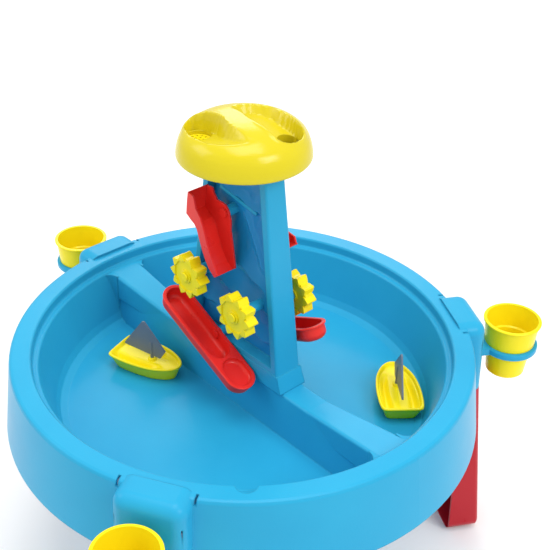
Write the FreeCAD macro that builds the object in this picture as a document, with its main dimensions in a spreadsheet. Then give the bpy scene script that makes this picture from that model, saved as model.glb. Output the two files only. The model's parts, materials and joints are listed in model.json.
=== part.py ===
import FreeCAD, Part
import math
import os
import re
import Sketcher

# Children's sand and water table, in millimetres. +Z is up, and +X runs along the tub's divider.
# Heights are measured from the rim's top face, which stands rim_z above the floor.
# The tub's axis stands axis_x along +X from the origin, so that the origin is under the middle
# of the whole object.

DIMENSIONS = {
    # where the tub stands
    "axis_x": 54.5, "rim_z": 404,
    # tub: round basin, rim, ledge and outer skirt
    "wall": 4, "rim_r": 320, "rim_round": 5, "rim_in_r": 290, "ledge_drop": 14, "ledge_r": 281,
    "basin_r": 258, "basin_drop": 95, "skirt_r": 333, "skirt_drop": 106,
    # straight divider across the basin, whose ends rise, widen and run into the ledge
    "divider_drop": 30, "divider_top": 19, "divider_foot": 26, "divider_reach": 279,
    "flare_start": 150, "flare_end": 282, "flare_drop": 15.5, "flare_half": 26, "corner_r": 16,
    # leg sockets: blocks on the outside of the skirt
    "socket_half": 49, "socket_back": 304, "socket_r": 349, "socket_rise": 4, "socket_drop": 108,
    "slot_back": 333.4, "slot_front": 342.4, "slot_half": 42.4, "slot_top": 26, "socket_round": 17,
    "screw_bore_x": 323.6, "leg_screw_y": 30, "leg_screw_low": 70, "seam_deep": 9, "seam_wide": 2.2,
    # half-round overflow notch and a slit in the rim's inner edge
    "notch_turn": -40.6, "notch_r": 13.5, "notch_deep": 12, "slit_turn": -50.1, "slit_half": 8,
    "slit_high": 3.5,
    # legs: curved channels that spread outwards to the floor
    "leg_half": 44, "leg_depth": 27, "leg_foot_r": 386, "leg_foot_depth": 52, "leg_wall": 4,
    "leg_round": 20, "foot_round": 18, "tongue_back": 334, "tongue_front": 342, "tongue_half": 42,
    "tongue_top": 30,
    # cup holders and cups
    "cup_left_r": 400, "cup_left_top": 17, "cup_right_r": 406, "cup_right_top": 22,
    "cup_front_r": 400, "cup_front_top": 14, "ring_under": 38, "ring_high": 11,
    "ring_in": 34.3, "ring_out": 41.5, "arm_half": 17, "cup_lip": 42, "cup_mouth": 39.5, "cup_deep": 90,
    "cup_neck": 33.8, "cup_foot": 28.5, "cup_wall": 2.2, "cup_seat": 36.4,
    # tower frame: tapering I-section panel standing on the divider
    "tower_top": 286, "tower_top_half": 55, "tower_foot_half": 92.5, "tower_foot": 6,
    "tower_top_deep": 16, "tower_foot_deep": 21, "tower_side": 12, "web_half": 4,
    "shoe_half": 102, "shoe_deep": 23, "head_high": 14, "shoe_screw_x": 84,
    "ledge_half": 36, "ledge_deep": 6, "ledge_thick": 5,
    # domed cap
    "cap_low": 281.5, "cap_r": 86, "cap_top": 332.5, "cap_wall": 3.2,
    "drain_x": 42, "drain_y": 34, "basin_floor": 300, "basin_fall": 26, "basin_long": 110,
    "funnel_r": 14, "funnel_low": 270, "sieve_x": 38, "sieve_y": 42, "sieve_r": 17, "sieve_thick": 2.5,
    "sieve_hole": 1.9,
    "cap_post_x": 30, "cap_post_y": 10, "cap_post_r": 5,
    # star wheels, each on a peg of its own
    "wheel_x": 48, "front_left_z": 102, "front_right_z": 86, "back_left_z": 86, "back_right_z": 76,
    "wheel_root": 26, "wheel_tip": 31, "wheel_y": 44, "wheel_wide": 17, "wheel_teeth": 10,
    "shaft_r": 3.5, "shaft_fit": 0.08,
    "boss_r": 7.5, "peg_head_r": 6.5, "peg_head_deep": 2, "peg_end": 6,
    # tipping chutes
    "chute_out": 54, "chute_in": 22, "chute_wall": 2.5, "front_chute_x": 10, "front_chute_z": 203,
    "back_chute_x": 17, "back_chute_z": 184, "chute_tipped": 84,
    # rocking troughs
    "trough_y": 46.5, "trough_half": 19.5, "trough_wall": 2.6, "trough_up": 90, "trough_down": 92,
    "trough_lip": 2.5, "lip_thick": 2.6, "trough_rim": 8, "trough_deep": 19, "spoon_deep": 7,
    "rib_at": 40, "rib_wide": 4, "trough_slope": 25, "trough_pin_x": 22, "trough_pin_z": 8.5,
    "pin_head_r": 6, "pin_head_deep": 2.5,
    # boats
    "hull_half_long": 55, "hull_half": 32, "hull_high": 25, "hull_edge": 4, "deck_drop": 9,
    "groove_drop": 9, "mast_x": 6, "mast_r": 2.6, "mast_step_r": 6, "hull_taper": 24, "mast_step": 4,
    "sail_back": 42, "sail_front": 30, "sail_rise": 6, "sail_high": 62, "sail_peak": 7,
    "sail_thick": 2.4,
    # fasteners
    "screw_r": 2.2, "screw_head_r": 4.5, "screw_head": 2.6,
}

doc = FreeCAD.newDocument("sand_and_water_table")
sheet = doc.addObject("Spreadsheet::Sheet", "Sheet")
for row, (alias, value) in enumerate(DIMENSIONS.items(), start=1):
    sheet.set("A%d" % row, alias)
    sheet.set("B%d" % row, str(value))
    sheet.setAlias("B%d" % row, alias)
doc.recompute()

SUB_PARTS = []


def size(alias):
    """A driving dimension, read back from the spreadsheet."""
    return float(sheet.get(alias))


def spelled(rule):
    """Turn a rule such as 'rim_r - wall' into an expression on the spreadsheet's cells."""
    def cell(word):
        return "Sheet." + word.group() if word.group() in DIMENSIONS else word.group()
    return re.sub(r"[a-z_]+", cell, str(rule))


def bind(thing, rules):
    """Bind properties of a document object to rules on the spreadsheet."""
    for prop, rule in rules.items():
        thing.setExpression(prop, spelled(rule))
    return thing


def put(thing, x="0", y="0", z="0"):
    """Bind the position of an object in the tub's frame."""
    return bind(thing, {"Placement.Base.x": x, "Placement.Base.y": y, "Placement.Base.z": z})


def box(name, x, y, z):
    """A block between the pairs of limits x, y and z."""
    block = doc.addObject("Part::Box", name)
    bind(block, {"Length": "(%s) - (%s)" % (x[1], x[0]), "Width": "(%s) - (%s)" % (y[1], y[0]),
                 "Height": "(%s) - (%s)" % (z[1], z[0])})
    return put(block, x[0], y[0], z[0])


def wedge(name, low, high, z):
    """A block that tapers from the limits low (x, x, y, y) at z[0] to the limits high at z[1]."""
    block = doc.addObject("Part::Wedge", name)
    bind(block, {"Ymin": z[0], "Ymax": z[1],
                 "Xmin": low[0], "Xmax": low[1], "Zmin": "-(%s)" % low[3], "Zmax": "-(%s)" % low[2],
                 "X2min": high[0], "X2max": high[1],
                 "Z2min": "-(%s)" % high[3], "Z2max": "-(%s)" % high[2]})
    block.Placement = FreeCAD.Placement(FreeCAD.Vector(), FreeCAD.Rotation(FreeCAD.Vector(1, 0, 0), 90))
    return block


TURNS = {"x": (FreeCAD.Vector(0, 1, 0), 90), "y": (FreeCAD.Vector(1, 0, 0), -90),
         "z": (FreeCAD.Vector(0, 0, 1), 0)}


def rod(name, along, radius, length, x="0", y="0", z="0"):
    """A cylinder that starts at x, y, z and runs along one of the axes."""
    bar = doc.addObject("Part::Cylinder", name)
    bar.Placement = FreeCAD.Placement(FreeCAD.Vector(), FreeCAD.Rotation(*TURNS[along]))
    bind(bar, {"Radius": radius, "Height": length})
    return put(bar, x, y, z)


def fuse(name, *pieces):
    joined = doc.addObject("Part::MultiFuse", name)
    joined.Shapes = list(pieces)
    joined.Refine = True
    return joined


def cut(name, base, *tools):
    cutter = tools[0] if len(tools) == 1 else fuse(name + "_tools", *tools)
    rest = doc.addObject("Part::Cut", name)
    rest.Base = base
    rest.Tool = cutter
    rest.Refine = True
    return rest


def rounded(name, base, radius, wanted):
    """Round the edges of base whose middle point and direction there satisfy wanted."""
    doc.recompute()
    numbers = []
    for number, edge in enumerate(base.Shape.Edges, start=1):
        halfway = (edge.FirstParameter + edge.LastParameter) / 2
        if wanted(edge.valueAt(halfway), edge.tangentAt(halfway)):
            numbers.append((number, radius, radius))
    if not numbers:
        raise ValueError("no edge to round on " + name)
    soft = doc.addObject("Part::Fillet", name)
    soft.Base = base
    soft.Edges = numbers
    return soft


def origin_feature(body, role):
    return [item for item in body.Origin.OriginFeatures if item.Role == role][0]


def outline(body, name, plane, corners):
    """A closed straight-sided sketch; each corner is a pair of rules."""
    sketch = body.newObject("Sketcher::SketchObject", name)
    sketch.AttachmentSupport = [(origin_feature(body, plane), "")]
    sketch.MapMode = "FlatFace"
    count = len(corners)
    ring = [FreeCAD.Vector(math.cos(2 * math.pi * i / count), math.sin(2 * math.pi * i / count), 0)
            for i in range(count)]
    for i in range(count):
        sketch.addGeometry(Part.LineSegment(ring[i] * 100, ring[(i + 1) % count] * 100), False)
    for i in range(count):
        sketch.addConstraint(Sketcher.Constraint("Coincident", i, 2, (i + 1) % count, 1))
    for i, (across, upward) in enumerate(corners):
        for kind, rule, start in (("DistanceX", across, ring[i].x), ("DistanceY", upward, ring[i].y)):
            index = sketch.addConstraint(Sketcher.Constraint(kind, -1, 1, i, 1, start * 100))
            sketch.setExpression("Constraints[%d]" % index, spelled(rule))
    return sketch


def circle(body, name, plane, radius):
    """A sketch of one circle about the origin."""
    sketch = body.newObject("Sketcher::SketchObject", name)
    sketch.AttachmentSupport = [(origin_feature(body, plane), "")]
    sketch.MapMode = "FlatFace"
    sketch.addGeometry(Part.Circle(FreeCAD.Vector(), FreeCAD.Vector(0, 0, 1), 10), False)
    sketch.addConstraint(Sketcher.Constraint("Coincident", 0, 3, -1, 1))
    index = sketch.addConstraint(Sketcher.Constraint("Radius", 0, 10))
    sketch.setExpression("Constraints[%d]" % index, spelled(radius))
    return sketch


def turned(name, corners):
    """A body turned about its Z axis from an outline of (radius, height) rules."""
    body = doc.addObject("PartDesign::Body", name)
    sketch = outline(body, name + "_profile", "XZ_Plane", corners)
    turn = body.newObject("PartDesign::Revolution", name + "_turn")
    turn.Profile = sketch
    turn.ReferenceAxis = (sketch, ["V_Axis"])
    turn.Angle = 360
    body.Tip = turn
    return body


def flat(name, plane, corners, thick):
    """A body padded evenly to both sides of a plane from an outline."""
    body = doc.addObject("PartDesign::Body", name)
    sketch = outline(body, name + "_outline", plane, corners)
    pad = body.newObject("PartDesign::Pad", name + "_pad")
    pad.Profile = sketch
    pad.SideType = "Symmetric"
    bind(pad, {"Length": thick})
    body.Tip = pad
    return body


def disc(name, plane, radius, thick):
    """A round body padded evenly to both sides of a plane."""
    body = doc.addObject("PartDesign::Body", name)
    pad = body.newObject("PartDesign::Pad", name + "_pad")
    pad.Profile = circle(body, name + "_circle", plane, radius)
    pad.SideType = "Symmetric"
    bind(pad, {"Length": thick})
    body.Tip = pad
    return body


def node(label, thing, turn=0, tilt=0, x="0", y="0", z="0"):
    """Name a sub-part and place it: tilted about its Y, turned about Z, then moved to the floor's frame."""
    thing.Label = label
    thing.Placement.Rotation = (FreeCAD.Rotation(FreeCAD.Vector(0, 0, 1), turn)
                                * FreeCAD.Rotation(FreeCAD.Vector(0, 1, 0), tilt))
    put(thing, "axis_x + (%s)" % x, y, "rim_z + (%s)" % z)
    SUB_PARTS.append(thing)


def swung(name, item, turn):
    """A copy of a construction piece, turned about the tub's axis."""
    copy = doc.addObject("Part::Compound", name)
    copy.Links = [item]
    copy.Placement.Rotation = FreeCAD.Rotation(FreeCAD.Vector(0, 0, 1), turn)
    return copy


SIDES = {"left": 180, "right": 60, "front": -60}
FACES = {"front": 0, "back": 180}


# Offset and height of the two screws in each leg's tongue, in the socket's own frame.
LEG_SCREW_SPOTS = [("-leg_screw_y", "-leg_screw_low"), ("leg_screw_y", "-leg_screw_low")]


def tub():
    """Round basin with a rolled rim, hollow divider and three leg sockets."""
    wall = turned("tub_wall", [
        ("skirt_r", "-skirt_drop"), ("rim_r", "-rim_round"),
        ("rim_r - rim_round * 0.3", "-rim_round * 0.3"), ("rim_r - rim_round", "0"),
        ("rim_in_r + 2", "0"), ("rim_in_r", "-2"), ("rim_in_r - 1", "2 - ledge_drop"),
        ("rim_in_r - 3", "-ledge_drop"), ("ledge_r + 2", "-ledge_drop"), ("ledge_r", "-ledge_drop - 2"),
        ("basin_r + 5", "15 - basin_drop"), ("basin_r", "5 - basin_drop"),
        ("basin_r - 10", "-basin_drop"), ("0", "-basin_drop"), ("0", "-basin_drop - wall"),
        ("basin_r - 8", "-basin_drop - wall"), ("basin_r + wall", "3 - basin_drop"),
        ("basin_r + 5 + wall", "13 - basin_drop"), ("ledge_r + wall", "-ledge_drop - wall - 2"),
        ("rim_in_r + wall - 1", "-ledge_drop - wall"), ("rim_in_r + wall", "-wall"),
        ("rim_r - wall - 2", "-wall"), ("rim_r - wall", "-wall - 2"), ("skirt_r - wall", "-skirt_drop")])
    ridge = wedge("divider", ("-basin_r - 2", "basin_r + 2", "-divider_foot", "divider_foot"),
                  ("-divider_reach", "divider_reach", "-divider_top", "divider_top"),
                  ("-basin_drop - 2", "-divider_drop"))
    ridge = rounded("divider_round", ridge, 5,
                    lambda middle, along: abs(along.x) > 0.9 and middle.z > -40)
    hollow = wedge("divider_hollow",
                   ("10 - basin_r", "basin_r - 10", "wall - divider_foot", "divider_foot - wall"),
                   ("14 - basin_r", "basin_r - 14", "wall - divider_top", "divider_top - wall"),
                   ("-basin_drop - wall - 1", "-divider_drop - wall"))
    flare = doc.addObject("Part::Wedge", "divider_flare")
    bind(flare, {"Ymin": "flare_start", "Ymax": "flare_end", "Xmin": "-divider_top",
                 "Xmax": "divider_top", "Zmin": "-basin_drop * 0.6", "Zmax": "-divider_drop",
                 "X2min": "-flare_half",
                 "X2max": "flare_half", "Z2min": "-basin_drop * 0.6", "Z2max": "-flare_drop"})
    flare.Placement.Rotation = FreeCAD.Rotation(FreeCAD.Vector(0, 0, 1), -90)
    flare = rounded("divider_flare_round", flare, 4,
                    lambda middle, along: middle.z > -28 and abs(along.x) > 0.9)
    corner = box("corner_block", ("flare_end - corner_r - 3", "flare_end"),
                 ("flare_half - 3", "flare_half + corner_r"), ("-basin_drop * 0.8", "-flare_drop - 1"))
    corner_room = rod("corner_room", "z", "corner_r", "basin_drop", "flare_end - corner_r - 3",
                      "flare_half + corner_r", "-basin_drop")
    corner = cut("corner", corner, corner_room)
    block = wedge("socket", ("socket_back + 14", "socket_r + 1", "-socket_half", "socket_half"),
                  ("socket_back", "socket_r - 3", "3 - socket_half", "socket_half - 3"),
                  ("-socket_drop", "socket_rise"))
    block = rounded("socket_round", block, size("socket_round"),
                    lambda middle, along: middle.x > 340 and middle.z > -100
                    or middle.z > 0 and abs(along.x) > 0.5)
    slot = box("slot", ("slot_back", "slot_front"), ("-slot_half", "slot_half"),
               ("-socket_drop - 1", "-slot_top"))
    holes = [rod("leg_screw_hole_%d" % i, "x", "screw_r + 0.1", "40", "socket_back", y, z)
             for i, (y, z) in enumerate(LEG_SCREW_SPOTS)]
    holes += [rod("leg_screw_recess_%d" % i, "x", "screw_head_r + 0.2", "screw_bore_x - socket_back + 20",
                  "socket_back - 20", y, z) for i, (y, z) in enumerate(LEG_SCREW_SPOTS)]
    seams = [box("seam_%d" % i, ("socket_back + 2", "skirt_r + 3"), limits, ("-seam_deep", "socket_rise + 1"))
             for i, limits in enumerate([("socket_half - seam_wide", "socket_half + 1"),
                                         ("-socket_half - 1", "seam_wide - socket_half")])]
    socket_tools = fuse("socket_tools", slot, *holes, *seams)
    pieces = [wall, ridge]
    for end, turn in (("near", 0), ("far", 180)):
        pieces += [swung("flare_" + end, flare, turn), swung("corner_a_" + end, corner, turn)]
        other = doc.addObject("Part::Mirroring", "corner_b_" + end)
        other.Source = pieces[-1]
        other.Normal = FreeCAD.Vector(0, 1, 0)
        pieces.append(other)
    backing = box("notch_backing", ("rim_in_r + 1", "rim_in_r + notch_r + wall"),
                  ("-notch_r - wall", "notch_r + wall"), ("-notch_deep - wall", "-1"))
    notch = rod("notch", "z", "notch_r", "notch_deep + 1", "rim_in_r", "0", "-notch_deep")
    slit = box("slit", ("rim_in_r - 5", "rim_in_r + wall - 1"), ("-slit_half", "slit_half"),
               ("-2.5 - slit_high", "-2.5"))
    pieces.append(swung("notch_backing_at", backing, size("notch_turn")))
    tools = [hollow, swung("notch_at", notch, size("notch_turn")), swung("slit_at", slit, size("slit_turn"))]
    for x, name in (("-shoe_screw_x", "far"), ("shoe_screw_x", "near")):
        tools.append(rod("shoe_screw_hole_" + name, "z", "screw_r + 0.1", "20", x, "0", "-divider_drop - 15"))
    for side, turn in SIDES.items():
        pieces.append(swung("socket_" + side, block, turn))
        tools.append(swung("socket_tools_" + side, socket_tools, turn))
    node("tub", cut("tub", fuse("tub_solid", *pieces), *tools))


def leg(side, turn):
    """Channel leg with a floor plate, open towards the tub's middle; its tongue plugs into a socket."""
    outer = wedge("leg_outer_" + side,
                  ("leg_foot_r - leg_foot_depth", "leg_foot_r", "-leg_half - 1", "leg_half + 1"),
                  ("socket_r - leg_depth", "socket_r", "-leg_half", "leg_half"), ("-rim_z", "-socket_drop"))
    outer = rounded("leg_foot_" + side, outer, size("foot_round"),
                    lambda middle, along: middle.x > 355 and middle.z < -300 and abs(along.y) > 0.9)
    outer = rounded("leg_round_" + side, outer, 7,
                    lambda middle, along: abs(along.z) > 0.5 and middle.x > 355)
    plate = box("leg_plate_" + side, ("socket_r - 60", "leg_foot_r + 10"),
                ("-leg_half - 1", "leg_half + 1"), ("-rim_z", "20 - socket_drop"))
    plate = rounded("leg_corners_" + side, plate, size("leg_round"),
                    lambda middle, along: abs(along.x) > 0.9 and middle.z < -300)
    shell = doc.addObject("Part::MultiCommon", "leg_shell_" + side)
    shell.Shapes = [outer, plate]
    inner = wedge("leg_inner_" + side,
                  ("leg_foot_r - leg_foot_depth - 2", "leg_foot_r - leg_wall",
                   "leg_wall - leg_half - 1", "leg_half + 1 - leg_wall"),
                  ("socket_r - leg_depth - 2", "socket_r - leg_wall",
                   "leg_wall - leg_half", "leg_half - leg_wall"),
                  ("leg_wall - rim_z", "-socket_drop - leg_wall"))
    inner = rounded("leg_inner_foot_" + side, inner, size("foot_round") - size("leg_wall"),
                    lambda middle, along: middle.x > 355 and middle.z < -300 and abs(along.y) > 0.9)
    tongue = box("tongue_" + side, ("tongue_back", "tongue_front"), ("-tongue_half", "tongue_half"),
                 ("-socket_drop - 1", "-tongue_top"))
    pilots = [rod("pilot_%s_%d" % (side, i), "x", "screw_r", "40", "socket_back", y, z)
              for i, (y, z) in enumerate(LEG_SCREW_SPOTS)]
    whole = fuse("leg_whole_" + side, cut("leg_channel_" + side, shell, inner), tongue)
    node("leg_" + side, cut("leg_" + side, whole, *pilots), turn)


def cup_holder(side, turn):
    """Flat ring on a short arm, with a backing plate that is fixed to the socket's outer face."""
    reach = "cup_%s_r" % side
    high = "-cup_%s_top - ring_under" % side
    low = high + " - ring_high"
    ring = rod("ring_" + side, "z", "ring_out", "ring_high", reach, "0", low)
    ring = rounded("ring_round_" + side, ring, 3, lambda middle, along: True)
    arm = box("arm_" + side, ("socket_r - 12", reach + " - ring_in"), ("-arm_half", "arm_half"),
              (low, high))
    plate = box("arm_plate_" + side, ("socket_r - 12", "socket_r + 4"), ("-arm_half - 5", "arm_half + 5"),
                (low + " - 14", high + " + 3"))
    inside = rod("ring_hole_" + side, "z", "ring_in", "ring_high + 2", reach, "0", low + " - 1")
    face = wedge("arm_face_" + side, ("socket_r - 60", "socket_r + 1", "-60", "60"),
                 ("socket_r - 60", "socket_r - 3", "-60", "60"), ("-socket_drop", "socket_rise"))
    whole = fuse("holder_" + side, ring, arm, plate)
    node("cup_holder_" + side, cut("cup_holder_" + side, whole, inside, face), turn)


def cup(side, turn):
    """Stepped cup whose shoulder sits on the ring; its own frame starts at the rim's centre."""
    seat = "-ring_under"
    body = turned("cup_" + side, [
        ("0", "-cup_deep"), ("cup_foot - 2", "-cup_deep"), ("cup_foot", "2 - cup_deep"),
        ("cup_neck", seat), ("cup_seat", seat), ("cup_mouth", "-2.5"), ("cup_lip", "-2.5"),
        ("cup_lip", "-0.8"), ("cup_lip - 0.8", "0"), ("cup_mouth - cup_wall", "0"),
        ("cup_seat - cup_wall", seat + " + cup_wall"), ("cup_neck - cup_wall", seat + " + cup_wall - 2"),
        ("cup_foot - cup_wall", "cup_wall - cup_deep + 1"),
        ("cup_foot - cup_wall - 2", "cup_wall - cup_deep"), ("0", "cup_wall - cup_deep")])
    angle = math.radians(turn)
    node("cup_" + side, body, turn, 0, "cup_%s_r * %.6f" % (side, math.cos(angle)),
         "cup_%s_r * %.6f" % (side, math.sin(angle)), "-cup_%s_top" % side)


WHEELS = {"left": "-wheel_x", "right": "wheel_x"}


# Height and slope of the cascade ledges that run across each side of the tower's web.
LEDGES = {"upper": ("222", 10), "middle": ("126", 14), "lower": ("81", 2)}


def tower_frame():
    """Tapering panel: two side walls, a web with cascade ledges, bosses, a head and a shoe."""
    outer = wedge("tower_outer",
                  ("-tower_foot_half", "tower_foot_half", "-tower_foot_deep", "tower_foot_deep"),
                  ("-tower_top_half", "tower_top_half", "-tower_top_deep", "tower_top_deep"),
                  ("-tower_foot - 1", "tower_top"))
    outer = rounded("tower_round", outer, 3, lambda middle, along: abs(along.z) > 0.5)
    recess = wedge("recess", ("tower_side - tower_foot_half", "tower_foot_half - tower_side",
                              "-60", "-web_half"),
                   ("tower_side - tower_top_half - 2", "tower_top_half + 2 - tower_side",
                    "-60", "-web_half"),
                   ("8 - tower_foot", "tower_top - head_high"))
    panel = cut("tower_panel", outer, swung("recess_front", recess, 0), swung("recess_back", recess, 180))
    shoe = wedge("shoe", ("-shoe_half", "shoe_half", "-shoe_deep", "shoe_deep"),
                 ("-tower_foot_half - 1", "tower_foot_half + 1", "-tower_foot_deep - 1",
                  "tower_foot_deep + 1"), ("-divider_drop", "-tower_foot"))
    details = []
    for name, (z, tilt) in LEDGES.items():
        ledge = box("ledge_" + name, ("-ledge_half", "ledge_half"), ("-ledge_deep", "0"),
                    ("-ledge_thick", "0"))
        holder = swung("ledge_%s_tilted" % name, ledge, 0)
        holder.Placement.Rotation = FreeCAD.Rotation(FreeCAD.Vector(0, 1, 0), tilt)
        details.append(put(holder, "0", "-web_half", z))
    half = fuse("tower_details", *details)
    pieces = [panel, shoe, swung("details_front", half, 0), swung("details_back", half, 180)]
    tools = []
    for face, turn in FACES.items():
        sign = "-" if face == "front" else ""
        spots = {"chute": (sign + "%s_chute_x" % face, "%s_chute_z" % face, "chute_in - 0.5"),
                 "trough": (sign + "trough_pin_x", "trough_pin_z",
                            "trough_y - trough_half - trough_lip - 0.5")}
        for side, x in WHEELS.items():
            spots["wheel_" + side] = (x, "%s_%s_z" % (face, side), "wheel_y - 0.5")
        for name, (x, z, reach) in spots.items():
            start = "-(%s)" % reach if face == "front" else "0"
            pieces.append(rod("%s_%s_boss" % (face, name), "y", "boss_r", reach, x, start, z))
            start = "-(%s) - 1" % reach if face == "front" else "peg_end - 1"
            tools.append(rod("%s_%s_bore" % (face, name), "y", "shaft_r", "%s + 2 - peg_end" % reach, x,
                             start, z))
    screw = rod("cap_screw_bore", "z", "screw_r + 0.1", "30", "-cap_post_x", "-cap_post_y",
                "tower_top - 20")
    tools += [swung("screw_bore_a", screw, 0), swung("screw_bore_b", screw, 180)]
    for x, name in (("-shoe_screw_x", "far"), ("shoe_screw_x", "near")):
        tools.append(rod("shoe_pilot_" + name, "z", "screw_r", "16", x, "0", "-divider_drop - 1"))
    node("tower_frame", cut("tower_frame", fuse("tower_solid", *pieces), *tools))


DOME = [("cap_r", "cap_low + 2"), ("cap_r - 0.5", "cap_low + 8"), ("cap_r - 2.5", "cap_low + 17"),
        ("cap_r - 6", "cap_low + 26"), ("cap_r - 12", "cap_low + 34"), ("cap_r - 24", "cap_low + 42"),
        ("cap_r - 42", "cap_low + 48"), ("cap_r - 61", "cap_low + 50.3"), ("0", "cap_top")]
# Plans of the two catch basins in the dome, each from its shallow end round its deep end and
# back; the front one is given as if it were turned to the back.
BASINS = {
    "back": [(-35, 8), (-13, 4), (7, -1), (24, -2), (45, -3), (61, -3), (69, 4), (71, 18), (66, 35),
             (53, 49), (32, 55), (4, 55), (-18, 49), (-32, 29)],
    "front": [(-60, 29), (-52, 25), (-39, 29), (-22, 29), (-3, 27), (19, 20), (37, 20), (54, 25),
              (64, 34), (57, 50), (40, 61), (20, 69), (-4, 70), (-22, 66), (-38, 56), (-52, 44)],
}


BASIN_TURNS = {"back": 0, "front": 180}


def basin(name, face, grow, low):
    """The space of one catch basin: its plan, grown by a share of its size, over a sloping floor."""
    plan = BASINS[face]
    middle_x = sum(x for x, y in plan) / len(plan)
    middle_y = sum(y for x, y in plan) / len(plan)
    column = flat(name + "_plan", "XY_Plane",
                  [("%d + (%.1f) * (%s) / 45" % (x, x - middle_x, grow),
                    "%d + (%.1f) * (%s) / 30" % (y, y - middle_y, grow)) for x, y in plan],
                  "3 * cap_top")
    slope = doc.addObject("Part::Wedge", name + "_slope")
    bind(slope, {"Xmin": "-basin_long", "Xmax": "basin_long", "Ymin": "0", "Ymax": "80",
                 "Zmin": "-basin_long", "Zmax": "basin_long", "X2min": "-basin_long",
                 "X2max": "basin_long", "Z2min": "-basin_long", "Z2max": "basin_long"})
    tilt = math.degrees(math.atan2(size("basin_fall"), size("basin_long")))
    slope.Placement.Rotation = (FreeCAD.Rotation(FreeCAD.Vector(0, 1, 0), tilt)
                                * FreeCAD.Rotation(FreeCAD.Vector(1, 0, 0), 90))
    put(slope, "0", "0", low)
    room = doc.addObject("Part::MultiCommon", name)
    room.Shapes = [column, slope]
    return swung(name + "_at", room, BASIN_TURNS[face])


def tower_cap():
    """Dome with two catch basins: one drains through a sieve, the other through an open pipe."""
    inner = [("(%s) - cap_wall" % across, "(%s) - cap_wall * 0.8" % upward)
             for across, upward in reversed(DOME[1:-1])]
    shell = turned("cap_shell", [("cap_r - 1", "cap_low")] + DOME + [("0", "cap_top - cap_wall")] + inner
                   + [("cap_r - cap_wall", "cap_low")])
    limit = turned("cap_limit", [("0", "0"), ("cap_r", "0")] + DOME)
    pipe = rod("funnel_pipe", "z", "funnel_r + 3", "basin_floor - funnel_low", "drain_x", "drain_y",
               "funnel_low")
    boss = rod("drain_boss", "z", "sieve_r + cap_wall", "sieve_thick + cap_wall + 8", "-sieve_x",
               "-sieve_y", "basin_floor - sieve_thick - cap_wall - 5")
    post = rod("cap_post", "z", "cap_post_r", "cap_top - 2 - tower_top", "-cap_post_x",
               "-cap_post_y", "tower_top")
    trays = [basin("tray_" + face, face, "cap_wall", "basin_floor + basin_fall / 2 - cap_wall")
             for face in BASINS]
    rooms = [basin("room_" + face, face, "0", "basin_floor + basin_fall / 2") for face in BASINS]
    under = doc.addObject("Part::MultiCommon", "cap_under")
    under.Shapes = [fuse("cap_details", *trays, pipe, boss, swung("post_a", post, 0),
                         swung("post_b", post, 180)), limit]
    seat = rod("sieve_seat", "z", "sieve_r + 0.1", "40", "-sieve_x", "-sieve_y",
               "basin_floor - sieve_thick")
    drain = rod("basin_drain", "z", "sieve_r - 3", "60", "-sieve_x", "-sieve_y", "basin_floor - 30")
    pipe_bore = rod("funnel_bore", "z", "funnel_r", "80", "drain_x", "drain_y", "funnel_low - 1")
    pilot = rod("post_pilot", "z", "screw_r", "14", "-cap_post_x", "-cap_post_y", "tower_top - 1")
    node("tower_cap", cut("tower_cap", fuse("cap_solid", shell, under), *rooms, seat, drain, pipe_bore,
                          swung("pilot_a", pilot, 0), swung("pilot_b", pilot, 180)))


def sieve_plate():
    """Perforated disc in the floor of the front catch basin, drilled on two circles."""
    disc = rod("sieve_disc", "z", "sieve_r", "sieve_thick")
    holes = [rod("sieve_hole_centre", "z", "sieve_hole", "10", z="-5")]
    for ring, count in ((1, 6), (2, 12)):
        for i in range(count):
            angle = 2 * math.pi * i / count
            holes.append(rod("sieve_hole_%d_%d" % (ring, i), "z", "sieve_hole", "10",
                             "sieve_r * %.6f" % (0.36 * ring * math.cos(angle)),
                             "sieve_r * %.6f" % (0.36 * ring * math.sin(angle)), "-5"))
    node("sieve_plate", cut("sieve_plate", disc, *holes), 0, 0, "-sieve_x", "-sieve_y",
         "basin_floor - sieve_thick")


def wheel(face, side):
    """Star wheel: a disc with pointed paddles all round and a bored hub."""
    name = "wheel_%s_%s" % (face, side)
    body = disc(name, "XZ_Plane", "wheel_root", "wheel_wide - 4")
    tooth = body.newObject("PartDesign::Pad", name + "_tooth")
    tooth.Profile = outline(body, name + "_tooth_outline", "XZ_Plane",
                            [("wheel_root - 4", "-7"), ("wheel_root * 0.97", "-6"), ("wheel_tip", "-1"),
                             ("wheel_tip", "1"), ("wheel_root * 0.97", "6"), ("wheel_root - 4", "7")])
    tooth.SideType = "Symmetric"
    bind(tooth, {"Length": "wheel_wide"})
    teeth = body.newObject("PartDesign::PolarPattern", name + "_teeth")
    teeth.Originals = [tooth]
    teeth.Axis = (origin_feature(body, "Y_Axis"), [""])
    teeth.Angle = 360
    bind(teeth, {"Occurrences": "wheel_teeth"})
    body.Tip = teeth
    doc.recompute()
    hub = body.newObject("PartDesign::Pad", name + "_hub")
    hub.Profile = circle(body, name + "_hub_circle", "XZ_Plane", "boss_r + 2")
    hub.SideType = "Symmetric"
    bind(hub, {"Length": "wheel_wide"})
    bore = body.newObject("PartDesign::Pocket", name + "_bore")
    bore.Profile = circle(body, name + "_bore_circle", "XZ_Plane", "shaft_r + shaft_fit")
    bore.SideType = "Symmetric"
    bind(bore, {"Length": "wheel_wide + 10"})
    body.Tip = bore
    sign = "-" if face == "front" else ""
    node(name, body, FACES[face], 0, WHEELS[side], sign + "(wheel_y + wheel_wide / 2)",
         "%s_%s_z" % (face, side))


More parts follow.
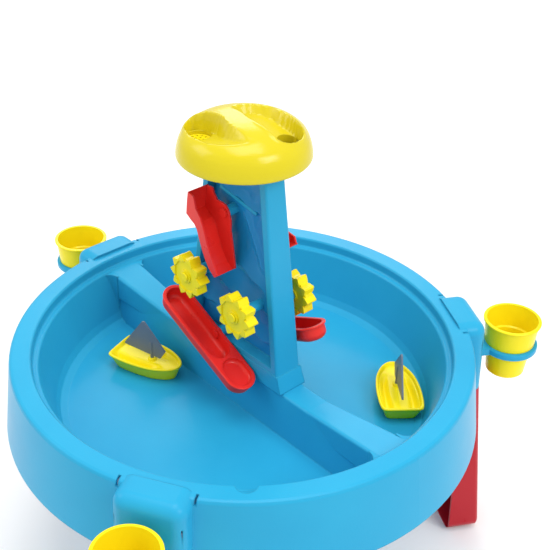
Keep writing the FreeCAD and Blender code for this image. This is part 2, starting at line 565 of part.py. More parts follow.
def wheel_pegs():
    """Four alike headed pegs; each carries a wheel and is pressed into its boss on the tower."""
    far = "wheel_y + wheel_wide + 0.5"
    pegs = []
    for face in FACES:
        for side, x in WHEELS.items():
            name, z = "%s_%s_peg" % (face, side), "%s_%s_z" % (face, side)
            front = face == "front"
            shank = rod(name + "_shank", "y", "shaft_r", far + " - peg_end", x,
                        "-(%s)" % far if front else "peg_end", z)
            head = rod(name + "_head", "y", "peg_head_r", "peg_head_deep", x,
                       "-(%s) - peg_head_deep" % far if front else far, z)
            head = rounded(name + "_head_round", head, 1,
                           lambda middle, along: abs(middle.y) > size("wheel_y") + size("wheel_wide") + 1)
            pegs.append(fuse(name, shank, head))
    group = doc.addObject("Part::Compound", "wheel_pegs_group")
    group.Links = pegs
    node("wheel_pegs", group)


# Side view of a chute about its pivot: the underside from the scoop to the spout, then the rims.
CHUTE_FLOOR = [("-37", "25"), ("-39.5", "8"), ("-41", "-8"), ("-32", "-13.5"), ("-25", "-17"),
               ("-20", "-23"), ("-16", "-34"), ("-10", "-49"), ("-4", "-61"), ("3", "-71"), ("14", "-80")]
OUTER_RIM = [("20", "-75"), ("16", "-67"), ("8", "-53"), ("0", "-38"), ("-6", "-20"), ("-13", "-4"),
             ("-22", "6"), ("-26", "22")]
INNER_RIM = [("21", "-75"), ("18", "-56"), ("15", "-38"), ("12", "-24"), ("12", "-8"), ("8", "4"),
             ("2", "11"), ("-7", "12"), ("-15", "12"), ("-21", "19"), ("-24", "26")]


def chute(face):
    """Open chute with a scoop at its top; its own frame starts on the pivot pin."""
    outer = flat("chute_outer_" + face, "XZ_Plane", CHUTE_FLOOR + OUTER_RIM, "chute_wall")
    put(outer, "0", "chute_wall / 2 - chute_out")
    inner = flat("chute_inner_" + face, "XZ_Plane", CHUTE_FLOOR + INNER_RIM, "chute_wall")
    put(inner, "0", "-chute_in - chute_wall / 2")
    back = [("%s + chute_wall" % x, "%s + chute_wall * 0.6" % z) for x, z in reversed(CHUTE_FLOOR)]
    floor = flat("chute_floor_" + face, "XZ_Plane", CHUTE_FLOOR + back, "chute_out - chute_in")
    put(floor, "0", "-(chute_out + chute_in) / 2")
    hub = rod("chute_hub_" + face, "y", "boss_r + 1.5", "chute_wall", "0", "-chute_in - chute_wall")
    bore = rod("chute_hub_bore_" + face, "y", "shaft_r + shaft_fit", "20", "0", "-chute_in - 10")
    whole = cut("chute_" + face, fuse("chute_whole_" + face, outer, inner, floor, hub), bore)
    sign, tilt = ("-", 0) if face == "front" else ("", -size("chute_tipped"))
    node("chute_" + face, whole, FACES[face], tilt, sign + face + "_chute_x", "0", face + "_chute_z")


def stadium(name, up, down, half, low, high):
    """A long block with round ends along X, and a rounded bottom."""
    middle = box(name + "_middle", ("(%s) - (%s)" % (half, up), "(%s) - (%s)" % (down, half)),
                 ("-(%s)" % half, half), (low, high))
    tall = "(%s) - (%s)" % (high, low)
    upper = rod(name + "_upper", "z", half, tall, "(%s) - (%s)" % (half, up), "0", low)
    lower = rod(name + "_lower", "z", half, tall, "(%s) - (%s)" % (down, half), "0", low)
    return fuse(name, middle, upper, lower)


def trough(face):
    """Round-ended trough with a deep upper half and a shallow spoon; starts on its pivot pin."""
    name = "trough_" + face
    outer = stadium(name + "_outer", "trough_up", "trough_down", "trough_half",
                    "trough_rim - trough_deep - trough_wall", "trough_rim")
    outer = rounded(name + "_outer_round", outer, 9,
                    lambda middle, along: middle.z < -5 and abs(along.z) < 0.5)
    lip = stadium(name + "_lip", "trough_up + trough_lip", "trough_down + trough_lip",
                  "trough_half + trough_lip", "trough_rim - lip_thick", "trough_rim")
    lip = rounded(name + "_lip_round", lip, 1.2,
                  lambda middle, along: abs(along.z) < 0.5)
    deep = stadium(name + "_deep", "trough_up - trough_wall", "rib_at", "trough_half - trough_wall",
                   "trough_rim - trough_deep", "trough_rim + 5")
    deep = rounded(name + "_deep_round", deep, 7,
                   lambda middle, along: middle.z < -5 and abs(along.z) < 0.5)
    spoon = stadium(name + "_spoon", "-rib_at - rib_wide", "trough_down - trough_wall",
                    "trough_half - trough_wall", "trough_rim - spoon_deep", "trough_rim + 5")
    spoon = rounded(name + "_spoon_round", spoon, 5,
                    lambda middle, along: middle.z < 3 and abs(along.z) < 0.5)
    hub_start = "trough_half - trough_wall - 0.5"
    hub = rod(name + "_hub", "y", "boss_r + 1", "trough_wall + trough_lip + 0.5", "0", hub_start, "0")
    bore = rod(name + "_bore", "y", "shaft_r + shaft_fit", "20", "0", "trough_half - 10", "0")
    whole = cut(name, fuse(name + "_whole", outer, lip, hub), deep, spoon, bore)
    sign, y = ("-", "-trough_y") if face == "front" else ("", "trough_y")
    node(name, whole, FACES[face], size("trough_slope"), sign + "trough_pin_x", y, "trough_pin_z")


def pin(label, face, reach, x, z):
    """Pivot pin: a shank in the tower's boss and a head inside the swinging piece."""
    shank = rod(label + "_shank", "y", "shaft_r", "%s - peg_end" % reach, "0", "-(%s)" % reach)
    head = rod(label + "_head", "y", "pin_head_r", "pin_head_deep", "0", "-(%s) - pin_head_deep" % reach)
    sign = "-" if face == "front" else ""
    node(label, fuse(label + "_whole", shank, head), FACES[face], 0, sign + x, "0", z)


def boat(side, turn, x, y):
    """Loose toy boat: hull with a sunk deck, two side grooves and a mast step, and a plug-in sail."""
    name = "boat_hull_" + side
    half_outline = [("hull_half_long", "6"), ("hull_half_long - 10", "16"), ("hull_half_long - 26", "25"),
                    ("0", "hull_half - 1"), ("-20", "hull_half"), ("3 - hull_half_long", "hull_half - 3"),
                    ("-hull_half_long", "hull_half - 7")]
    half_deck = [("hull_half_long - hull_edge - 2", "4"), ("hull_half_long - hull_edge - 11", "12"),
                 ("hull_half_long - hull_edge - 26", "20"), ("0", "hull_half - hull_edge - 1"),
                 ("-20", "hull_half - hull_edge"), ("5 - hull_half_long", "hull_half - hull_edge - 4")]
    groove = [("16", "13"), ("16", "17"), ("-6", "21"), ("10 - hull_half_long", "21"),
              ("10 - hull_half_long", "12"), ("-6", "14")]

    def both(half):
        return half + [(across, "-(%s)" % aside) for across, aside in reversed(half)]

    body = doc.addObject("PartDesign::Body", name + "_body")
    pad = body.newObject("PartDesign::Pad", name + "_pad")
    pad.Profile = outline(body, name + "_outline", "XY_Plane", both(half_outline))
    pad.Reversed = True
    pad.TaperAngle = -size("hull_taper")
    bind(pad, {"Length": "hull_high"})
    stages = {"deck": (both(half_deck), "deck_drop"),
              "groove_a": (groove, "deck_drop + groove_drop"),
              "groove_b": ([(across, "-(%s)" % aside) for across, aside in groove],
                           "deck_drop + groove_drop")}
    for stage, (corners, depth) in stages.items():
        pocket = body.newObject("PartDesign::Pocket", "%s_%s" % (name, stage))
        pocket.Profile = outline(body, "%s_%s_outline" % (name, stage), "XY_Plane", corners)
        bind(pocket, {"Length": depth})
        body.Tip = pocket
    step = rod(name + "_step", "z", "mast_step_r", "mast_step", "mast_x", "0", "-deck_drop")
    bore = rod(name + "_mast_bore", "z", "mast_r", "20", "mast_x", "0", "-deck_drop - 8")
    whole = cut(name + "_node", fuse(name + "_whole", body, step), bore)
    high = "hull_high - basin_drop"
    node(name, whole, turn, 0, x, y, high)
    name = "boat_sail_" + side
    cloth = flat(name + "_panel", "XZ_Plane", [
        ("-sail_back", "sail_rise + 5"), ("sail_front - 9", "sail_rise"),
        ("sail_front", "sail_rise + 15"), ("2 - sail_peak", "sail_high"),
        ("-sail_peak - 2", "sail_high - 1"), ("1 - sail_back", "sail_rise + 9")], "sail_thick")
    put(cloth, "0", "0", "mast_step - deck_drop")
    stub = rod(name + "_stub", "z", "mast_r", "8 + mast_step + sail_high * 0.5", "mast_x", "0",
               "-deck_drop - 8")
    node(name, fuse(name + "_whole", cloth, stub), turn, 0, x, y, high)


def screws():
    """Three groups of identical pan-head screws."""
    def screw(name, along, x, y, z, length):
        shank = rod(name + "_shank", along, "screw_r", length, x, y, z)
        start = {"x": x, "y": y, "z": z}
        start[along] = "(%s) - screw_head" % start[along]
        head = rod(name + "_head", along, "screw_head_r", "screw_head", **start)
        return fuse(name, shank, head)

    def group(label, items):
        bundle = doc.addObject("Part::Compound", label + "_group")
        bundle.Links = items
        node(label, bundle)

    group("tower_screws", [
        screw("tower_screw_" + name, "z", x, "0", "-divider_drop - wall", "wall + 14")
        for name, x in (("far", "-shoe_screw_x"), ("near", "shoe_screw_x"))])
    cap_screw = screw("cap_screw", "z", "-cap_post_x", "-cap_post_y", "tower_top - head_high",
                      "head_high + 10")
    group("cap_screws", [swung("cap_screw_a", cap_screw, 0), swung("cap_screw_b", cap_screw, 180)])
    pair = [screw("leg_screw_%d" % i, "x", "screw_bore_x", y, z, "18")
            for i, (y, z) in enumerate(LEG_SCREW_SPOTS)]
    both = fuse("leg_screw_pair", *pair)
    group("leg_screws", [swung("leg_screws_" + side, both, turn) for side, turn in SIDES.items()])


tub()
for side, turn in SIDES.items():
    leg(side, turn)
    cup_holder(side, turn)
    cup(side, turn)
tower_frame()
tower_cap()
sieve_plate()
for face in FACES:
    for side in WHEELS:
        wheel(face, side)
    chute(face)
    trough(face)
    pin("chute_pin_" + face, face, "chute_in + chute_wall + 0.5", face + "_chute_x", face + "_chute_z")
    pin("trough_pin_" + face, face, "trough_y - trough_half + trough_wall + 0.5", "trough_pin_x",
        "trough_pin_z")
wheel_pegs()
screws()
boat("left", 18, "-130", "-68")
boat("right", 140, "157", "155")

doc.recompute()
for thing in doc.Objects:
    if "Invalid" in thing.State or "Error" in thing.State:
        raise RuntimeError("%s could not be built: %s" % (thing.Name, thing.getStatusString()))
os.makedirs("parts", exist_ok=True)
whole = FreeCAD.BoundBox()
for thing in SUB_PARTS:
    if thing.Shape.isNull() or not thing.Shape.isValid():
        raise RuntimeError("%s has no valid shape" % thing.Label)
    thing.Shape.exportStep("parts/%s.step" % thing.Label)
    whole.add(thing.Shape.BoundBox)
    print("%-20s %d solid(s) %9.0f mm3" % (thing.Label, len(thing.Shape.Solids), thing.Shape.Volume))
print("%d sub-parts in" % len(SUB_PARTS), whole)
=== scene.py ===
import json
import math

import bmesh
import bpy
from mathutils import Matrix, Vector


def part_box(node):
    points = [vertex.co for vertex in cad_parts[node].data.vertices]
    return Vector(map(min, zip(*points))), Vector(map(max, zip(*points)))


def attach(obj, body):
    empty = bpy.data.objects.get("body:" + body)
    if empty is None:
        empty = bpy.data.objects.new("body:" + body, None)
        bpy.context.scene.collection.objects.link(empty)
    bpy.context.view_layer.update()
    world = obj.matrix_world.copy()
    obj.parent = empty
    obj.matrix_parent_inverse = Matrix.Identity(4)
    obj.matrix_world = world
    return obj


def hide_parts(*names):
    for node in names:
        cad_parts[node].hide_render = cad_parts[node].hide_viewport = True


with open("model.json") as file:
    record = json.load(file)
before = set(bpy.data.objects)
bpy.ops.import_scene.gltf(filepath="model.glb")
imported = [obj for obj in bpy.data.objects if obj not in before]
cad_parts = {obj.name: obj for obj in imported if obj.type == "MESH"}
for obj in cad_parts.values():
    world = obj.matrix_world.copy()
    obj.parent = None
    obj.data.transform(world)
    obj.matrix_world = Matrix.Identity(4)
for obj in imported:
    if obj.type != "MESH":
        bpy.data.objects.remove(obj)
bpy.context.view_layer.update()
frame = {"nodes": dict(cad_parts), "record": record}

NODES = frame["nodes"]
TUB_LOW, TUB_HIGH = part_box("tub")
POT_LOW, POT_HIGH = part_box("tower_frame")
AXIS = Vector(((POT_LOW.x + POT_HIGH.x) / 2, (POT_LOW.y + POT_HIGH.y) / 2, 0))
SOCKET_RISE = 0.004                 # the leg sockets stand this much above the rim
RIM_Z = TUB_HIGH.z - SOCKET_RISE


# ---------------------------------------------------------------- materials

def plastic(name, colour, deep, rough=0.28, grain=0.00035, coat=0.06, edge=0.0006,
            specular=0.3):
    """Moulded plastic: faint flow marks in the colour, uneven gloss and a fine orange-peel surface."""
    material = bpy.data.materials.new(name)
    material.use_nodes = True
    tree = material.node_tree
    shader = tree.nodes["Principled BSDF"]
    place = tree.nodes.new("ShaderNodeTexCoord")

    def noise(scale, detail):
        node = tree.nodes.new("ShaderNodeTexNoise")
        node.inputs["Scale"].default_value = scale
        node.inputs["Detail"].default_value = detail
        tree.links.new(place.outputs["Object"], node.inputs["Vector"])
        return node

    flow = noise(scale=9, detail=3)
    ramp = tree.nodes.new("ShaderNodeValToRGB")
    ramp.color_ramp.elements[0].position = 0.3
    ramp.color_ramp.elements[0].color = (*deep, 1)
    ramp.color_ramp.elements[1].position = 0.7
    ramp.color_ramp.elements[1].color = (*colour, 1)
    tree.links.new(flow.outputs["Fac"], ramp.inputs["Fac"])
    tree.links.new(ramp.outputs["Color"], shader.inputs["Base Color"])
    haze = noise(scale=35, detail=4)
    spread = tree.nodes.new("ShaderNodeMapRange")
    spread.inputs["To Min"].default_value = rough - 0.03
    spread.inputs["To Max"].default_value = rough + 0.04
    tree.links.new(haze.outputs["Fac"], spread.inputs["Value"])
    tree.links.new(spread.outputs["Result"], shader.inputs["Roughness"])
    peel = noise(scale=420, detail=2)
    bump = tree.nodes.new("ShaderNodeBump")
    bump.inputs["Strength"].default_value = 0.35
    bump.inputs["Distance"].default_value = grain
    tree.links.new(peel.outputs["Fac"], bump.inputs["Height"])
    soft = tree.nodes.new("ShaderNodeBevel")
    soft.samples = 4
    soft.inputs["Radius"].default_value = edge
    tree.links.new(soft.outputs["Normal"], bump.inputs["Normal"])
    tree.links.new(bump.outputs["Normal"], shader.inputs["Normal"])
    shader.inputs["IOR"].default_value = 1.5
    shader.inputs["Specular IOR Level"].default_value = specular
    shader.inputs["Coat Weight"].default_value = coat
    shader.inputs["Coat Roughness"].default_value = 0.08
    return material


def linear(red, green, blue):
    """Screen colour (0 to 255) as the linear colour that shaders use."""
    def one(value):
        value /= 255
        return value / 12.92 if value <= 0.04045 else ((value + 0.055) / 1.055) ** 2.4
    return one(red), one(green), one(blue)


BLUE = plastic("blue_plastic", (0.025, 0.37, 0.615), (0.021, 0.34, 0.585), rough=0.3, coat=0.03,
               edge=0.0025, specular=0.14)
# Darker, deeper blue for the web's relief: painted shade for the web, which sits recessed under the cap and
# chutes. The web is the same blue plastic as the rest of the tower.
SHADED_WEB_BLUE = plastic("web_painted_shade", (0.014, 0.255, 0.56), (0.010, 0.225, 0.52), rough=0.3, coat=0.03,
                    edge=0.0015, specular=0.2)
YELLOW = plastic("yellow_plastic", (0.95, 0.80, 0.010), (0.93, 0.75, 0.008), rough=0.22,
                 edge=0.0012, specular=0.2)
# Darker copy of the yellow for the cap alone: painted shade that offsets the extra light the top lamp throws
# on the cap. The cap is the same yellow plastic as the cups.
SHADED_CAP_YELLOW = plastic("cap_painted_shade", (0.66, 0.555, 0.012), (0.63, 0.52, 0.009), rough=0.2,
                     edge=0.0012)
RED = plastic("red_plastic", (0.84, 0.028, 0.020), (0.77, 0.020, 0.015), edge=0.0010)
LEG_RED = plastic("leg_plastic", (0.49, 0.013, 0.024), (0.46, 0.011, 0.021), edge=0.0015,
                  specular=0.18)
GREY = plastic("sail_plastic", linear(110, 122, 138), linear(100, 112, 128), rough=0.42)
STEEL = plastic("screw_steel", linear(170, 172, 174), linear(150, 152, 155), rough=0.3, grain=0.0001)
STEEL.node_tree.nodes["Principled BSDF"].inputs["Metallic"].default_value = 1.0

SLOT_MATERIALS = {"blue_plastic": BLUE, "yellow_plastic": YELLOW, "red_plastic": RED,
                  "leg_plastic": LEG_RED, "grey_plastic": GREY, "peg_plastic": YELLOW,
                  "pin_plastic": RED, "screw_steel": STEEL}


def dress(thing, material):
    """Gives a piece one material."""
    thing.data.materials.clear()
    thing.data.materials.append(material)


for part in frame["record"]["subparts"]:
    dress(NODES[part["node"]], SLOT_MATERIALS[part["material_slot"]])


# ---------------------------------------------------------------- building blocks

def at(x, y, z):
    """A point given in millimetres from the tub's axis and the rim's top."""
    return Vector((AXIS.x + x / 1000, AXIS.y + y / 1000, RIM_Z + z / 1000))


def ease(t):
    """Smooth step from 0 to 1."""
    t = min(max(t, 0), 1)
    return t * t * (3 - 2 * t)


def smooth_line(points, steps, closed=False):
    """Points on a smooth curve through the given ones."""
    count = len(points)
    line = []
    for i in range(count if closed else count - 1):
        if closed:
            near = [points[(i + k) % count] for k in (-1, 0, 1, 2)]
        else:
            near = [points[min(max(i + k, 0), count - 1)] for k in (-1, 0, 1, 2)]
        for step in range(steps):
            t = step / steps
            line.append(tuple(0.5 * (2 * b + (c - a) * t + (2 * a - 5 * b + 4 * c - d) * t ** 2
                                     + (3 * b - a - 3 * c + d) * t ** 3) for a, b, c, d in zip(*near)))
    if not closed:
        line.append(points[-1])
    return line


def read_line(line, x):
    """Height of a line of (x, height) points, in order of x, at x."""
    for (x0, y0), (x1, y1) in zip(line, line[1:]):
        if x <= x1:
            return y0 + (y1 - y0) * max(x - x0, 0) / max(x1 - x0, 1e-6)
    return line[-1][1]


def depth_inside(x, y, ring):
    """Distance from a closed line, positive inside it and negative outside."""
    nearest = 1e9
    inside = False
    for (ax, ay), (bx, by) in zip(ring, ring[1:] + ring[:1]):
        ux, uy = bx - ax, by - ay
        t = min(max(((x - ax) * ux + (y - ay) * uy) / (ux * ux + uy * uy), 0), 1)
        nearest = min(nearest, (x - ax - t * ux) ** 2 + (y - ay - t * uy) ** 2)
        if (ay > y) != (by > y) and x < ax + ux * (y - ay) / uy:
            inside = not inside
    return math.sqrt(nearest) * (1 if inside else -1)


def make_mesh(name, points, faces):
    """An object from points in the frame and faces, with its faces turned outwards."""
    mesh = bpy.data.meshes.new(name)
    mesh.from_pydata(points, [], faces)
    work = bmesh.new()
    work.from_mesh(mesh)
    bmesh.ops.recalc_face_normals(work, faces=work.faces)
    work.to_mesh(mesh)
    work.free()
    thing = bpy.data.objects.new(name, mesh)
    bpy.context.scene.collection.objects.link(thing)
    return thing


def shade(thing, angle=40):
    """Smooth shading that keeps edges sharper than the angle."""
    for face in thing.data.polygons:
        face.use_smooth = True
    thing.data.set_sharp_from_angle(angle=math.radians(angle))


def lathe(name, profile, centre, count=64, lean=0.0):
    """A solid turned about a vertical line; lean shears its upper half along X to suit a slope."""
    points = []
    faces = []
    for i in range(count):
        angle = 2 * math.pi * i / count
        for radius, z in profile[1:-1]:
            x, y = radius * math.cos(angle), radius * math.sin(angle)
            slope = lean * x if z > profile[0][1] + 1 else 0
            points.append(at(centre[0] + x, centre[1] + y, z + slope))
    rings = len(profile) - 2
    for i in range(count):
        j = (i + 1) % count
        for k in range(rings - 1):
            faces.append((i * rings + k, j * rings + k, j * rings + k + 1, i * rings + k + 1))
    faces.append([i * rings for i in range(count)])
    faces.append([i * rings + rings - 1 for i in range(count)])
    return make_mesh(name, points, faces)


def carved(thing, operation, tool):
    """The thing after a solid cut or join, with the tool used up."""
    step = thing.modifiers.new("carve", "BOOLEAN")
    step.operation = operation
    step.solver = "MANIFOLD"
    step.object = tool
    shape = bpy.data.meshes.new_from_object(thing.evaluated_get(bpy.context.evaluated_depsgraph_get()))
    thing.modifiers.clear()
    old = thing.data
    thing.data = shape
    shape.name = thing.name
    bpy.data.meshes.remove(old)
    bpy.data.objects.remove(tool)
    return thing


def finish_piece(thing, body, slot, *replaced, angle=40, material=None):
    """Shades and dresses a new piece, ties it to its body and hides the nodes it replaces."""
    shade(thing, angle)
    dress(thing, material or SLOT_MATERIALS[slot])
    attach(thing, body)
    if replaced:
        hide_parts(*replaced)


# ---------------------------------------------------------------- cap

DOME = smooth_line([(0, 332.5), (13, 332.3), (25, 331.8), (44, 329.5), (62, 323.5), (74, 315.5), (80, 307.5),
                    (83.5, 298.5), (85.5, 289.5), (86, 283.5), (85, 281.5)], 6)
BASINS = {
    1: smooth_line([(-35, 8), (-13, 4), (7, -1), (24, -2), (45, -3), (61, -3), (69, 4), (71, 18), (66, 35),
                    (53, 49), (32, 55), (4, 55), (-18, 49), (-32, 29)], 6, True),
    -1: smooth_line([(-60, 29), (-52, 25), (-39, 29), (-22, 29), (-3, 27), (19, 20), (37, 20), (54, 25),
                     (64, 34), (57, 50), (40, 61), (20, 69), (-4, 70), (-22, 66), (-38, 56), (-52, 44)],
                    6, True)}
BASIN_LEVEL = 313                   # height of the bowls' floor on the axis
BASIN_SLOPE = 26 / 110
BOWL_SIDE = 9                       # width of a bowl's sloping side where the bowl is shallow
LIP_HIGH, LIP_HALF = 1.6, 2.2       # raised lip round a bowl's deep end
CAP_WALL = 3.2
CAP_SPOKES = 240
SHOULDER, SHOULDER_RUN = 74, 7      # from this radius the inner skin also moves inwards
BRIM = 82                           # the bowls stay inside this radius
PIPE_SPOT = (42, 34)


def cap_height(x, y, z):
    """Height of the cap's skin where its plain dome would have height z."""
    for turn, ring in BASINS.items():
        along, aside = turn * x, turn * y
        depth = depth_inside(along, aside, ring)
        deep = ease((along - 5) / 45)
        if depth > -9:
            z += LIP_HIGH * deep * math.exp(-((depth + 1.5) / LIP_HALF) ** 2)
        if depth > 0:
            floor = min(BASIN_LEVEL - BASIN_SLOPE * along, z)
            z += (floor - z) * ease(depth / (BOWL_SIDE - 4 * deep))
    return z


def cap():
    """Domed cap with two catch basins, a sieve seat and an open drain pipe."""
    count = CAP_SPOKES
    stations = DOME[1:]
    points = [at(0, 0, cap_height(0, 0, DOME[0][1]))]
    under = [at(0, 0, cap_height(0, 0, DOME[0][1]) - CAP_WALL)]
    for k, (radius, z) in enumerate(stations):
        before = DOME[k]
        after = stations[min(k + 1, len(stations) - 1)]
        run, fall = after[0] - before[0], before[1] - after[1]
        size = math.hypot(run, fall)
        outer = ease((radius - SHOULDER) / SHOULDER_RUN)
        out, up = outer * fall / size, 1 + outer * (max(run / size, 0) - 1)
        for i in range(count):
            angle = 2 * math.pi * i / count
            c, s = math.cos(angle), math.sin(angle)
            height = cap_height(radius * c, radius * s, z) if radius < BRIM else z
            points.append(at(radius * c, radius * s, height))
            inner = radius - CAP_WALL * out
            under.append(at(inner * c, inner * s, max(height - CAP_WALL * up, DOME[-1][1])))
    shift = len(points)
    faces = []
    last = len(stations) - 1
    for i in range(count):
        j = (i + 1) % count
        faces.append((0, 1 + i, 1 + j))
        faces.append((shift, shift + 1 + j, shift + 1 + i))
        for k in range(last):
            a, b = 1 + k * count + i, 1 + k * count + j
            faces.append((a, a + count, b + count, b))
            faces.append((shift + b, shift + b + count, shift + a + count, shift + a))
        a, b = 1 + last * count + i, 1 + last * count + j
        faces.append((a, shift + a, shift + b, b))
    skin = make_mesh("cap_skin", points + under, faces)
    plate_low, plate_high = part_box("sieve_plate")
    sieve = tuple(500 * (plate_low[k] + plate_high[k]) - 1000 * AXIS[k] for k in (0, 1))
    for name, profile, centre, lean in (
            ("pipe", [(0, 270), (17, 270), (17, 301), (0, 301)], PIPE_SPOT, -BASIN_SLOPE),
            ("boss", [(0, 291.8), (20.2, 291.8), (20.2, 303.5), (19.2, 304.5), (0, 304.5)], sieve, 0)):
        skin = carved(skin, "UNION", lathe(name, profile, centre, 96, lean))
    for name, profile, centre in (
            ("bore", [(0, 262), (14, 262), (14, 345), (0, 345)], PIPE_SPOT),
            ("seat", [(0, 280), (14, 280), (14, 297.5), (17.2, 297.5), (17.2, 345), (0, 345)], sieve)):
        skin = carved(skin, "DIFFERENCE", lathe(name, profile, centre, 96))
    # the cap's darker yellow is painted shade against the top lamp's extra light
    finish_piece(skin, "table", "yellow_plastic", "tower_cap", angle=32, material=SHADED_CAP_YELLOW)


# ---------------------------------------------------------------- cascade relief on the tower

# each crest: its line as (x, z) points, how far it stands out, and how far it runs up to nothing
CRESTS = [([(-60, 231), (-6, 224), (18, 220), (43, 215), (60, 211)], 4.5, 9),
          ([(-60, 141), (-28, 132), (2, 127), (22, 124), (46, 112), (62, 104)], 9.5, 20),
          ([(-70, 93), (-22, 84), (13, 80), (47, 80), (70, 80)], 9.5, 18),
          ([(-80, 42), (-30, 37), (10, 34), (50, 30), (80, 28)], 6.0, 16)]


def relief_height(x, z):
    """How far the falling-water relief stands out from the web, in millimetres."""
    out = 1.6 + 0.9 * math.sin(0.09 * x + 0.05 * z) + 0.5 * math.sin(0.21 * x - 0.16 * z + 1)
    for crest, height, run in CRESTS:
        rise = z - read_line(crest, x) + 2.2 * math.sin(0.16 * x + height)
        if rise > 0:
            out = max(out, height * math.exp(-(rise / run) ** 1.3) + 1.2)
        else:
            out = max(out, (height + 1.2) * math.exp(-(rise / 4.5) ** 2))
    pocket = math.exp(-((x - 11) / 9) ** 2 - ((z - 163) / 15) ** 2)
    fold = math.exp(-((x + 0.55 * (z - 163) - 34) / 5) ** 2) * ease((z - 128) / 14) * ease((214 - z) / 16)
    return max(out * (1 - 0.92 * pocket) + 3.2 * fold * (1 - pocket), 0.25)


def half_inside(z):
    """Half the clear width between the tower's side walls at height z."""
    return 81 - (z + 7) * 37.5 / 293


def relief(face, turn):
    """Sheet of moulded falling water on one side of the web, bedded 1 mm into it."""
    across, up = 90, 190
    low, high = 3.0, 271.0
    bed, web_face, border = 3.0, 4.15, 3
    points = []
    for back in (False, True):
        for k in range(up + 1):
            z = low + (high - low) * k / up
            half = half_inside(z)
            for i in range(across + 1):
                x = half * (2 * i / across - 1)
                edge = ease((half - abs(x)) / border) * ease((z - low) / border)
                edge *= ease((high - z) / border)
                out = bed if back else web_face + relief_height(x, z) * edge
                points.append(at(turn * x, -turn * out, z))
    row = across + 1
    layer = row * (up + 1)
    faces = []
    for k in range(up):
        for i in range(across):
            a = k * row + i
            faces.append((a, a + 1, a + row + 1, a + row))
            faces.append((layer + a, layer + a + row, layer + a + row + 1, layer + a + 1))
    rim = list(range(row)) + [k * row + across for k in range(1, up + 1)]
    rim += [up * row + i for i in range(across - 1, -1, -1)] + [k * row for k in range(up - 1, 0, -1)]
    for a, b in zip(rim, rim[1:] + rim[:1]):
        faces.append((a, layer + a, layer + b, b))
    sheet = make_mesh("cascade_" + face, points, faces)
    # the darker web blue is painted shade on the recessed web
    finish_piece(sheet, "table", "blue_plastic", angle=60, material=SHADED_WEB_BLUE)


# ---------------------------------------------------------------- boats

HULL_HALF = [(55, 0), (53.2, 7), (47, 14.5), (36, 21.5), (20, 27.8), (0, 31), (-20, 32), (-40, 31),
             (-51, 28.6), (-54.4, 23.5), (-55, 12)]
HULL = smooth_line(HULL_HALF + [(-55, 0)] + [(x, -y) for x, y in reversed(HULL_HALF[1:])], 5, True)
BEAM = [(x, y) for x, y in reversed(smooth_line(HULL_HALF, 5))]
# (inset, height) from the flat bottom up the side and over the rolled rim
HULL_SIDE = [(12.5, -25), (11, -25), (9.6, -24.4), (8.6, -22.5), (6.6, -17), (4.4, -11), (2.4, -5.5),
             (1.2, -3.2), (0, -2.6), (0, -1.2), (0.7, -0.3), (1.8, 0), (3.0, -0.3), (3.7, -1.1)]
# sizes of the deck's rings, from its edge to its middle, as shares of its outline
DECK_SHARES = ([0.995, 0.98, 0.965, 0.95, 0.93, 0.91] + [0.885 - 0.025 * k for k in range(22)]
               + [0.33 - 0.03 * k for k in range(11)])
MAST_X = 6


DECK_DROP = 5.2
GROOVE_DEEP = 8.5
RIM_ROLL = 4.0


def deck_height(x, y):
    """Height of a boat's deck from its rim, with two grooves beside a raised middle."""
    beam = max(read_line(BEAM, x), 1)
    groove = 0.58 * beam
    wide = 3.2 + 1.4 * ease(-x / 45)
    length = ease((x + 49) / 6) * ease((32 - x) / 26)
    sunk = GROOVE_DEEP * length * ease((wide + 3.6 - abs(abs(y) - groove)) / 7)
    return -DECK_DROP - sunk


def boat_hull(side, x, y, turn, height):
    """Smooth toy hull with a rolled rim, a flat bottom and a grooved deck."""
    c, s = math.cos(math.radians(turn)), math.sin(math.radians(turn))
    points = []
    faces = []

    def ring(inset, z=None, share=1.0):
        for along, aside in HULL:
            along *= share * (55 - inset) / 55
            aside *= share * (32 - inset) / 32
            level = z
            if z is None:
                sunk = ease((1 - share) / 0.05)
                level = deck_height(along, aside) * sunk - 2.2 * (1 - sunk)
            points.append(at(x + c * along - s * aside, y + s * along + c * aside, height + level))

    for inset, z in HULL_SIDE:
        ring(inset, z)
    for share in DECK_SHARES:
        ring(RIM_ROLL, None, share)
    count = len(HULL)
    rings = len(points) // count
    for k in range(rings - 1):
        for i in range(count):
            j = (i + 1) % count
            faces.append((k * count + i, k * count + j, (k + 1) * count + j, (k + 1) * count + i))
    faces.append(list(range(count)))
    faces.append([(rings - 1) * count + i for i in range(count)])
    hull = make_mesh("hull_" + side, points, faces)
    spot = (x + c * MAST_X, y + s * MAST_X)
    step = [(0, -8), (6, -8), (6, -2.6), (5.2, -1.9), (0, -1.9)]
    bore = [(0, -17), (2.7, -17), (2.7, 9), (0, 9)]
    for name, operation, profile, spokes in (("step", "UNION", step, 48),
                                             ("bore", "DIFFERENCE", bore, 32)):
        lifted = [(radius, height + z) for radius, z in profile]
        hull = carved(hull, operation, lathe(name, lifted, spot, spokes))
    finish_piece(hull, "boat_" + side, "yellow_plastic", "boat_hull_" + side, angle=50)


BOAT_RIM = -70                      # height of the boats' rims while they stand on the basin's floor

cap()
relief("front", 1)
relief("back", -1)
boat_hull("left", -130, -68, 18, BOAT_RIM)
boat_hull("right", 157, 155, 140, BOAT_RIM)


# ---------------------------------------------------------------- camera, lights and floor

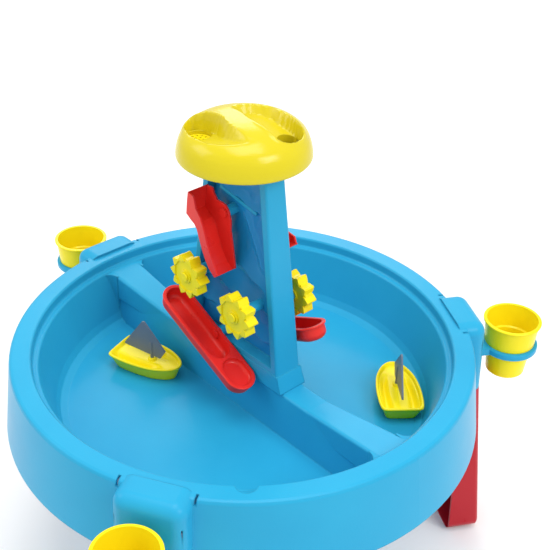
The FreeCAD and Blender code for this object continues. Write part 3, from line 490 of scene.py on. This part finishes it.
def camera():
    """Looks down on the table from the corner beyond the front cup."""
    data = bpy.data.cameras.new("camera")
    data.sensor_width = 36
    data.lens = 67.94
    data.shift_x = 0.0545
    data.clip_end = 50
    thing = bpy.data.objects.new("camera", data)
    bpy.context.scene.collection.objects.link(thing)
    place = AXIS + Vector((0.8723, -0.7821, RIM_Z + 0.8476))
    ahead = Vector((-0.6271, 0.5647, -0.5366))
    turn = ahead.to_track_quat("-Z", "Y").to_matrix().to_4x4()
    thing.matrix_world = Matrix.Translation(place) @ turn @ Matrix.Rotation(math.radians(0.61), 4, "Z")
    bpy.context.scene.camera = thing


def softbox(name, place, aim, width, height, watts):
    """Rectangular soft light at a place, turned towards the aim."""
    data = bpy.data.lights.new(name, "AREA")
    data.shape = "RECTANGLE"
    data.size = width
    data.size_y = height
    data.energy = watts
    thing = bpy.data.objects.new(name, data)
    bpy.context.scene.collection.objects.link(thing)
    thing.location = place
    thing.rotation_euler = (Vector(aim) - Vector(place)).to_track_quat("-Z", "Y").to_euler()


def studio():
    """Pale floor, pale surroundings and four soft lights."""
    world = bpy.data.worlds.new("pale_room")
    world.use_nodes = True
    world.node_tree.nodes["Background"].inputs["Color"].default_value = (1, 1, 1, 1)
    world.node_tree.nodes["Background"].inputs["Strength"].default_value = 0.75
    bpy.context.scene.world = world
    middle = (AXIS.x, AXIS.y, RIM_Z)
    softbox("key", (2.2, 0.2, 2.2), middle, 1.2, 1.0, 26)
    softbox("fill", (-1.6, -1.8, 2.3), middle, 1.6, 1.4, 20)
    softbox("top", (0.3, -0.1, 4.6), middle, 2.4, 2.4, 80)
    softbox("sheen", (-2.5, 2.2, 2.3), middle, 2.0, 1.4, 25)
    bpy.ops.mesh.primitive_plane_add(size=40, location=(0, 0, 0))
    floor = bpy.context.object
    floor.name = "floor"
    material = bpy.data.materials.new("pale_floor")
    material.use_nodes = True
    shader = material.node_tree.nodes["Principled BSDF"]
    shader.inputs["Base Color"].default_value = (0.93, 0.93, 0.93, 1)
    shader.inputs["Roughness"].default_value = 0.9
    dress(floor, material)


camera()
studio()
bpy.context.scene.view_settings.view_transform = "Standard"

bpy.context.view_layer.update()
